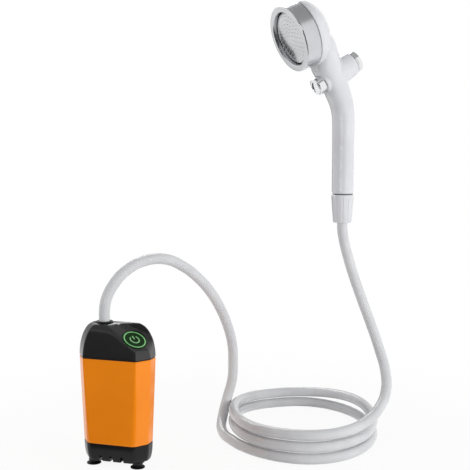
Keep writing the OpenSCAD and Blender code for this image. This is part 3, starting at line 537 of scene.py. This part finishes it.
def makeShell():
    b = bodySet
    low = [edgeRing(b["z0"], 1, a) for a in (90, 60, 30, 0)]
    walls = [bodyRing(mix(b["z0"] + b["edge"], b["z1"] - b["edge"], i / b["levels"])) for i in range(1, b["levels"])]
    high = [edgeRing(b["z1"], -1, a) for a in (0, 30, 60, 90)]
    ledgeZ = b["z0"] + b["ledgeH"]
    inside = [bodyRing(b["z1"], b["wall"]), bodyRing(ledgeZ, b["wall"]), bodyRing(ledgeZ, b["ledge"]),
              bodyRing(b["z0"], b["ledge"])]
    return evenFaces(loftObject("bodyShell", low + walls + high + inside, closed=True))


dress(makeShell(), "orangeShell", "pump", "orange_shell", "body_shell")


capSet = dict(z0=109.5, height=32.0, inset=13.2, dome=0.78, cutW=7.0, cutD=5.0, roundMore=1.5, steps=8, levels=30,
              crease=1.6 * mm, spacing=1.1 * mm, sharpAt=60, lowEdge=((0.0, 0.5), (0.003, 0.15), (0.012, 0.0)),
              topShares=(0.93, 0.82, 0.7, 0.58, 0.46, 0.34, 0.22, 0.1))
# holes in the cap: button well from the slanted face, hose port, charge cover's pocket, socket
wellSet = dict(buttonZ=(-9.0, 8.0), buttonSides=96, port=(-13.5, 0.0, 0.0), portR=5.65, portZ=(128.0, 150.0),
               portSides=72, coverW=15.2, coverY=17.3, coverZ=112.1, coverH=10.4, socketW=10.4, socketY=12.0,
               socketZ=115.4, socketH=4.6, outY=40.0)


def capRing(t, inset=0.0):
    c, b = capSet, bodySet
    draw = c["inset"] * (c["dome"] * (1 - math.sqrt(max(0.0, 1 - t * t))) + (1 - c["dome"]) * t)
    cut = (mix(b["cutW"], c["cutW"], t), mix(b["cutD"], c["cutD"], t))
    return ringAt(b["topW"] / 2 - draw, b["topD"] / 2 - draw, cut, b["roundTop"] + c["roundMore"] * t, inset,
                  c["z0"] + t * (c["height"] - inset), c["steps"])


def ramp(over, soft):  # nought below the turn, rising after it
    return (over + math.sqrt(over * over + soft * soft)) / 2


# what stands above the slanted face is pressed down onto it, with a soft crease where it turns up
def pressed(point):
    f = faceSet
    away = point - f["point"]
    turn = math.radians(f["backTurn"])
    behind = away.dot(faceSide) * math.cos(turn) + away.dot(faceUp) * math.sin(turn) - f["end"]
    over = away.dot(faceOut) - math.tan(math.radians(f["rise"])) * ramp(behind, f["backSoft"])
    drop = ramp(over, capSet["crease"]) if over > -f["clear"] else 0.0
    return point - faceOut * drop


def filled(ring, counts):  # the same number of points along each flat of every ring
    out = []
    for k, count in enumerate(counts):
        a, b = ring[k], ring[(k + 1) % len(ring)]
        out += [a.lerp(b, j / count) for j in range(count)]
    return out


def capTools():
    f, w = faceSet, wellSet
    facePlace = (Matrix.Translation(f["point"] / mm)
                 @ Matrix((faceSide, faceUp, faceOut)).transposed().to_4x4())
    wellR = (f["buttonR"] + f["gap"]) / mm
    tools = [turned("buttonWell", facePlace, [(wellR, z) for z in w["buttonZ"]], w["buttonSides"]),
             turned("portHole", Matrix.Translation(w["port"]), [(w["portR"], z) for z in w["portZ"]], w["portSides"])]
    for name in ("cover", "socket"):
        half, y, z, tall = w[name + "W"] / 2, w[name + "Y"], w[name + "Z"], w[name + "H"]
        tools.append(boxTool(name + "Well", (-half, y, z), (half, w["outY"], z + tall)))
    return tools


def makeCap():
    c = capSet
    rings = [capRing(t, inset) for t, inset in c["lowEdge"]]
    rings += [capRing(math.sin(math.pi / 2 * i / c["levels"])) for i in range(1, c["levels"] + 1)]
    foot = rings[2]
    counts = [max(1, round((foot[(k + 1) % len(foot)] - p).length / c["spacing"])) for k, p in enumerate(foot)]
    rings = [filled(ring, counts) for ring in rings]
    top = rings[-1]
    middle = Vector((0.0, 0.0, top[0].z))
    rings += [[middle.lerp(p, share) for p in top] for share in c["topShares"]]
    cap = loftObject("topCap", rings[:1] + [[pressed(p) for p in ring] for ring in rings[1:]])
    cutAway(cap, capTools())
    sharpen(cap.data, c["sharpAt"])
    return evenFaces(cap)


dress(makeCap(), "blackCap", "pump", "black_plastic", "top_cap")


baseSet = dict(top=23.5, z0=6.0, inset=2.5, slotW=3.4, slotH=6.0, pitch=11.0, floor=2.5, hollow=6.15, hollowTop=40.0,
               footIn=1.28, lip=0.35, lipAt=0.015, arc=84.0, levels=16, outY=60.0, sharpAt=32)


def baseRing(t, inset=0.0):
    b = bodySet
    draw = baseSet["inset"] * (1 - math.sqrt(max(0.0, 1 - t * t)))
    return ringAt(b["baseW"] / 2 - draw, b["baseD"] / 2 - draw, (b["cutW"], b["cutDBase"]), b["roundBase"], inset,
                  mix(baseSet["top"], baseSet["z0"], t), b["steps"])


def makeBase():
    s = baseSet
    arc = math.radians(s["arc"])
    rings = [baseRing(1.0, s["footIn"])]
    rings += [baseRing(math.sin(arc * i / s["levels"]) / math.sin(arc)) for i in range(s["levels"] - 1, 0, -1)]
    rings += [baseRing(s["lipAt"]), baseRing(0.0, s["lip"])]
    base = loftObject("filterBase", rings)
    inside = [[Vector((p.x, p.y, z * mm)) for p in bodyRing(bodySet["z0"], s["hollow"])]
              for z in (s["z0"] + s["floor"], s["hollowTop"])]
    tools = [loftObject("baseHollow", inside)]
    for i in (-1, 0, 1):
        x0, x1 = i * s["pitch"] - s["slotW"] / 2, i * s["pitch"] + s["slotW"] / 2
        tools.append(boxTool("intakeSlot", (x0, -s["outY"], 0.0), (x1, s["outY"], s["z0"] + s["slotH"])))
    cutAway(base, tools)
    sharpen(base.data, s["sharpAt"])
    return evenFaces(base)


dress(makeBase(), "blackBase", "pump", "black_plastic", "filter_base")
print("pump housing made")


# hand shower handle: grip, neck, valve boss and head back in one moulding

gripZ0 = 31.2
gripZ1 = gripZ0 + 77.0
gripR = 11.7
handleSet = dict(voxel=0.75 * mm, smooth=7, smoothBy=0.5, sides=72, between=8, sharpAt=50, headR=35.0, headIn=0.3,
                 ringH=17.5, domeH=23.5, domeStep=0.4, domeBulge=(0.8, 1.1), domeLevels=40, threadR=32.0,
                 rim=(-66.1, 0.0, gripZ1 + 82.8), headLean=22.0, valve=(-14.0, 0.0, gripZ1 + 46.5), valveLean=31.5,
                 bezelZ=-15.0, bezelR=11.5, bezelEdge=0.5, boss=((15.0, 0.0), (12.8, 26.2), (12.2, 26.8)),
                 pocketR=9.8, pocketZ=(-30.0, -8.2), inletR=10.0, inletZ=(16.6, gripZ0 + 4), shellFace=7.7,
                 ringRoomR=41.0, ringRoomZ=(-40.0, 17.4))

# place across and up, half thickness, half width, lean
neckStations = [
    (0, 0, gripR - 0.7, gripR - 0.7, 0), (0, 1.5, gripR, gripR, 0), (0, 4, gripR, gripR, 0), (0, 12, gripR, gripR, 0),
    (0, 30, gripR, gripR, 0), (0, 53, gripR, gripR, 0),
    (0, 77, gripR + 0.3, gripR + 0.3, 2), (-1, 87, gripR + 0.5, gripR + 0.5, 8), (-3, 96, gripR + 0.9, gripR + 1, 16),
    (-6.6, 105, gripR + 1.5, gripR + 1.6, 24), (-11, 115, gripR + 2.3, gripR + 2.4, 28),
    (-16.3, 124.6, gripR + 3, gripR + 3.4, 28), (-21, 133, gripR + 4, gripR + 5, 25),
    (-25.5, 144, gripR + 3.5, gripR + 8, 22), (-30.5, 156, gripR + 2.6, gripR + 10, 22),
    (-36, 169, gripR - 2, gripR + 6, 22),
]


def leaning(place, middle, lean):  # an axis through a point of the hand shower, this far from level
    return place @ Matrix.Translation(Vector(middle)) @ Matrix.Rotation(math.radians(90 - lean), 4, "Y")


handPlace = Matrix.Translation(Vector(handSet["at"])) @ Matrix.Rotation(math.radians(handSet["turn"]), 4, "Z")
headPlace = leaning(handPlace, handleSet["rim"], handleSet["headLean"])
valvePlace = leaning(handPlace, handleSet["valve"], handleSet["valveLean"])


def eased(stations, between):  # a smooth run through the stations
    out = []
    for i in range(len(stations) - 1):
        a, b = stations[i], stations[i + 1]
        before = stations[max(i - 1, 0)]
        after = stations[min(i + 2, len(stations) - 1)]
        for s in range(between):
            t = s / between
            out.append([0.5 * (2 * q + (r - p) * t + (2 * p - 5 * q + 4 * r - w) * t * t
                               + (3 * q - p - 3 * r + w) * t ** 3) for p, q, r, w in zip(before, a, b, after)])
    out.append(list(stations[-1]))
    return out


def neckRing(station):
    x, up, thick, wide, leanDeg = station
    n = handleSet["sides"]
    tilt = math.radians(leanDeg)
    ring = []
    for j in range(n):
        t = 2 * math.pi * j / n
        ring.append(handPlace @ Vector((x + thick * math.cos(t) * math.cos(tilt), wide * math.sin(t),
                                        gripZ0 + up + thick * math.cos(t) * math.sin(tilt))) * mm)
    return ring


def headDome():
    h = handleSet
    flatter, taller = h["domeBulge"]
    dome = [(h["threadR"], h["shellFace"]), (h["threadR"], h["ringH"]), (h["headR"] - h["headIn"], h["ringH"])]
    for i in range(h["domeLevels"]):
        t = math.pi / 2 * i / h["domeLevels"]
        dome.append((h["headR"] * math.cos(t) ** flatter,
                     h["ringH"] + h["domeStep"] + (h["domeH"] - h["domeStep"]) * math.sin(t) ** taller))
    return dome + [(tipR, h["ringH"] + h["domeH"])]


def makeHandle():
    h = handleSet
    handle = loftObject("handleNeck", [neckRing(s) for s in eased(neckStations, h["between"])])
    bezel = [(h["bezelR"] - h["bezelEdge"], h["bezelZ"]), (h["bezelR"], h["bezelZ"] + h["bezelEdge"]),
             (h["bezelR"], 0.0)]
    solids = [handle, turned("headBack", headPlace, headDome()),
              turned("inlet", handPlace, [(h["inletR"], z) for z in h["inletZ"]]),
              turned("bezel", valvePlace, bezel), turned("rearBoss", valvePlace, h["boss"])]
    cutAway(handle, [turned("ringRoom", headPlace, [(h["ringRoomR"], z) for z in h["ringRoomZ"]])])
    bpy.ops.object.select_all(action="DESELECT")
    for solid in solids:
        solid.select_set(True)
    bpy.context.view_layer.objects.active = handle
    bpy.ops.object.join()
    handle.name = handle.data.name = "showerHandle"
    remesh = handle.modifiers.new("oneSkin", "REMESH")
    remesh.mode = "VOXEL"
    remesh.voxel_size = h["voxel"]
    settle(handle)
    ease = handle.modifiers.new("ease", "SMOOTH")
    ease.factor = h["smoothBy"]
    ease.iterations = h["smooth"]
    settle(handle)
    cutAway(handle, [turned("buttonPocket", valvePlace, [(h["pocketR"], z) for z in h["pocketZ"]])])
    sharpen(handle.data, h["sharpAt"])
    print("handle faces", len(handle.data.polygons))
    return handle


dress(makeHandle(), "whiteShell", "hand_shower", "white_plastic", "handle")


# grey rings filling the seams between the nut and the grip, and behind the head's ring: painted shade where these gaps
# fall in shadow
seamShadeSet = dict(grip=[(9.6, 30.06), (10.6, 30.06), (10.8, 30.3), (10.8, 30.9), (10.6, 31.14), (9.6, 31.14)],
               head=[(32.1, 17.14), (34.5, 17.14), (34.62, 17.22), (34.62, 17.4), (34.5, 17.46), (32.1, 17.46)])

# each ring is painted shade: a dark grey piece put in a gap that is only shadow
for seamShadeName, seamShadePlace in (("grip", handPlace), ("head", headPlace)):
    seam = evenFaces(turned(seamShadeName + "Seam", seamShadePlace, seamShadeSet[seamShadeName], closed=True))
    dress(seam, "greyInside", "hand_shower", "grey_plastic")


# push buttons at the two ends of the water valve: a turned rim, a groove and a low crown
buttonSet = dict(front=dict(z=-23.5, out=-1.0, tall=9.0, r=9.5), rear=dict(z=33.3, out=1.0, tall=6.2, r=12.0))
# in from the rim and down from the top, or for the skirt up from the back
rimSet = dict(edge=1.4, rimDown=0.05, crownIn=3.4, crownDown=0.35, crownSteps=6,
              groove=((3.2, 0.55), (2.9, 0.75), (2.6, 0.75), (2.3, 0.5), (2.1, 0.15), (1.8, 0.05)),
              skirt=((0.0, 1.6), (0.25, 1.4), (0.25, 0.9), (0.0, 0.7), (0.0, 0.0)))


def pushButton(name, b):
    r, s, edge = b["r"], rimSet, rimSet["edge"]
    shares = [k / s["crownSteps"] for k in range(1, s["crownSteps"] + 1)]
    crown = [(tipR, 0.0)] + [((r - s["crownIn"]) * t, s["crownDown"] * t ** 2) for t in shares]
    groove = [(r - x, down) for x, down in s["groove"]]
    shoulder = [(r - edge + edge * math.sin(math.radians(a)), s["rimDown"] + edge * (1 - math.cos(math.radians(a))))
                for a in range(10, 91, 10)]
    skirt = [(r - x, b["tall"] - up) for x, up in s["skirt"]] + [(tipR, b["tall"])]
    profile = [(x, b["z"] - b["out"] * down) for x, down in crown + groove + shoulder + skirt]
    return evenFaces(turned(name, valvePlace, profile))


for end in ("front", "rear"):
    dress(pushButton(end + "Cap", buttonSet[end]), "brightChrome", "water_valve", "chrome_trim", end + "_button")


# spray plate: a low crown with a rolled edge, and a soft nozzle at each jet
plateSet = dict(r=28.2, low=0.5, crown=240.0, rollFrom=24.3, roll=0.13, back=6.6, steps=40)
jetSet = dict(rows=6, perRow=5, edge=23.5, r=0.6, tall=0.22, bore=0.2, sides=10, sunk=0.1, taper=0.08, taperTo=0.7,
              lip=0.2, chamfer=0.06)


def plateHeight(r):
    over = max(0.0, r - plateSet["rollFrom"])
    return plateSet["low"] + r * r / plateSet["crown"] + plateSet["roll"] * over * over


def makePlate():
    s = plateSet
    reaches = [s["r"] * k / s["steps"] for k in range(1, s["steps"] + 1)]
    face = [(tipR, s["low"])] + [(r, plateHeight(r)) for r in reaches]
    return evenFaces(turned("sprayDome", headPlace, face + [(s["r"], s["back"])]))


def makeNozzles():
    j = jetSet
    profile = [(j["r"], j["sunk"]), (j["r"] - j["taper"], -j["tall"] * j["taperTo"]), (j["r"] - j["lip"], -j["tall"]),
               (j["bore"] + j["chamfer"], -j["tall"]), (j["bore"], j["chamfer"] - j["tall"]), (j["bore"], j["sunk"])]
    quads = loftFaces(j["sides"], len(profile), capped=False)
    verts, faces = [], []
    for row in range(1, j["rows"] + 1):
        reach = j["edge"] * row / j["rows"]
        jets = j["perRow"] * row
        for way in [2 * math.pi * i / jets for i in range(jets)]:
            spot = Vector((reach * math.cos(way), reach * math.sin(way), plateHeight(reach)))
            faces += [tuple(len(verts) + v for v in quad) for quad in quads]
            for r, z in profile:
                verts += circle(headPlace, r, z, j["sides"], spot)
    return evenFaces(meshObject("sprayNozzles", verts, faces))


dress(makePlate(), "sprayFace", "hand_shower", "spray_face", "spray_plate")
dress(makeNozzles(), "nozzleSoft", "hand_shower", "spray_face")
print("hand shower made")


# a finish for every node, also for those that a finer piece stands for
nodePaint = dict(
    body_shell="orangeShell", cap_seal="blackRubber", top_cap="blackCap", hose_collar="blackRubber",
    hose_barb="blackCap", riser_tube="hosePvc", control_board="boardMask", tact_switch="greyInside",
    charge_socket="plainSteel", battery_cell="cellWrap", battery_cradle="greyInside", motor="plainSteel",
    motor_plate="greyInside", shaft_seal="blackRubber", volute="greyInside", volute_screws="plainSteel",
    filter_base="blackBase", filter_sponge="openSponge", suction_cups="blackRubber", motor_shaft="plainSteel",
    impeller="whiteShell", power_button="buttonTop", button_light="greenLight", charge_cover="blackRubber",
    hose_arch="hosePvc", hose_coil="hosePvc", hose_rise="hosePvc", hose_tail="turnedBrass", handle="whiteShell",
    hose_nut="whiteShell", nut_washer="blackRubber", inlet_filter="plainSteel", head_ring="chromeTrim",
    spray_plate="sprayFace", face_seal="blackRubber", valve_spool="whiteShell", front_button="chromeTrim",
    rear_button="chromeTrim", spool_seals="blackRubber",
)
for nodeName, paintName in nodePaint.items():
    nodes[nodeName].data.materials.clear()
    nodes[nodeName].data.materials.append(paints[paintName])
print("finishes on", len(nodePaint), "nodes")


# floor, light and background

stageSet = dict(floorHalf=9, floorAt=(0.1, 0.08, -0.0004), floorCloud=30.0, floorTints=(0.9, 0.94), floorRough=0.9,
                near=0.16, far=0.5, shadow=0.085, fill=0.42)


def flatObject(name, corners, material):
    mesh = bpy.data.meshes.new(name)
    mesh.from_pydata(corners, [], [(0, 1, 2, 3)])
    mesh.materials.append(material)
    board = bpy.data.objects.new(name, mesh)
    scene.collection.objects.link(board)
    return board


# white to the camera, a little less so round the object, where a part of the real shadow shows
def floorPaint():
    s = stageSet
    finish = Finish("studioFloor")
    where = finish.place()
    far = finish.add("VectorMath", {"operation": "LENGTH"}, {0: where}, output="Value")
    white = finish.add("Emission", None, {"Color": grey(1.0), "Strength": 1.0})
    tints = [grey(tint) for tint in s["floorTints"]]
    finish.skinned({
        "Base Color": finish.tint(finish.noise(where, s["floorCloud"]), *tints),
        "Roughness": s["floorRough"],
    })
    lit = 1.0 - s["shadow"] * far.between(s["near"], s["far"], 1.0, 0.0)
    skin = Wire(finish, finish.skin.outputs["BSDF"])
    both = finish.add("MixShader", None, {0: finish.shown() * lit, 1: skin, 2: white})
    finish.put(finish.tree.nodes["Material Output"].inputs["Surface"], both)
    return finish.material


def makeFloor():
    half = stageSet["floorHalf"]
    floor = flatObject("studioFloor", level(-half, half, -half, half, 0), floorPaint())
    floor.location = stageSet["floorAt"]


def makeWorld():
    world = bpy.data.worlds.new("studioWorld")
    scene.world = world
    world.use_nodes = True
    graph = Graph(world.node_tree)
    sky = graph.tree.nodes["Background"]
    graph.put(sky.inputs["Color"], grey(1.0))
    graph.put(sky.inputs["Strength"], graph.shown().between(0.0, 1.0, stageSet["fill"], 1.0))


lampSet = dict(
    leftBox=dict(place=(-1.5, -0.4, 0.5), aim=(0.05, 0.05, 0.15), size=(0.8, 1.0), watts=7.5),
    rightBox=dict(place=(1.65, -0.55, 0.4), aim=(0.1, 0.05, 0.2), size=(0.8, 0.9), watts=17.0),
    backBox=dict(place=(0.1, 1.9, 0.35), aim=(0.1, 0.1, 0.2), size=(1.4, 0.6), watts=6.0),
    topBox=dict(place=(0.1, 0.2, 1.9), aim=(0.1, 0.1, 0.0), size=(1.6, 1.2), watts=3.5),
)


def makeLamps():
    for name, lamp in lampSet.items():
        data = bpy.data.lights.new(name, "AREA")
        data.shape = "RECTANGLE"
        data.size, data.size_y = lamp["size"]
        data.energy = lamp["watts"]
        box = bpy.data.objects.new(name, data)
        box.location = lamp["place"]
        box.visible_glossy = False
        box.rotation_euler = (Vector(lamp["aim"]) - Vector(lamp["place"])).to_track_quat("-Z", "Y").to_euler()
        scene.collection.objects.link(box)


# cards that only the gloss sees: dark in front, behind and low down, grey overhead, and two bright ones
cardSet = dict(
    frontCard=dict(shade=0.12, corners=upright(-1.8, 1.6, -1.7, 0.0, 1.7)),
    roofCard=dict(shade=0.36, corners=level(-1.2, 1.4, -1.5, 1.0, 1.7)),
    stripCard=dict(shade=7.0, corners=upright(-0.11, -0.03, -1.3, 0.15, 1.3)),
    softCard=dict(shade=4.2, corners=level(-1.6, -0.2, 0.6, 2.6, 1.65)),
    backCard=dict(shade=0.06, corners=[(-0.8, 0.63, 0.0), (-0.25, 1.05, 0.0), (-0.25, 1.05, 0.42), (-0.7, 0.8, 0.42)]),
    floorCard=dict(shade=0.03, corners=[(-1.4, -1.65, 0.001), (0.5, -1.65, 0.001), (0.25, -0.06, 0.001),
                                        (-0.7, -0.06, 0.001)]),
)
clothSet = dict(scale=40.0, lighter=1.2)


def makeCards():
    for name, card in cardSet.items():
        finish = Finish(name)
        cloth = finish.noise(finish.place(), clothSet["scale"])
        finish.skinned({
            "Base Color": grey(0.0),
            "Roughness": 1.0,
            "Emission Color": finish.tint(cloth, grey(card["shade"]), grey(card["shade"] * clothSet["lighter"])),
            "Emission Strength": 1.0,
        })
        board = flatObject(name, card["corners"], finish.material)
        board.visible_camera = board.visible_diffuse = board.visible_shadow = board.visible_transmission = False


makeFloor()
makeWorld()
makeLamps()
makeCards()
print("stage set")
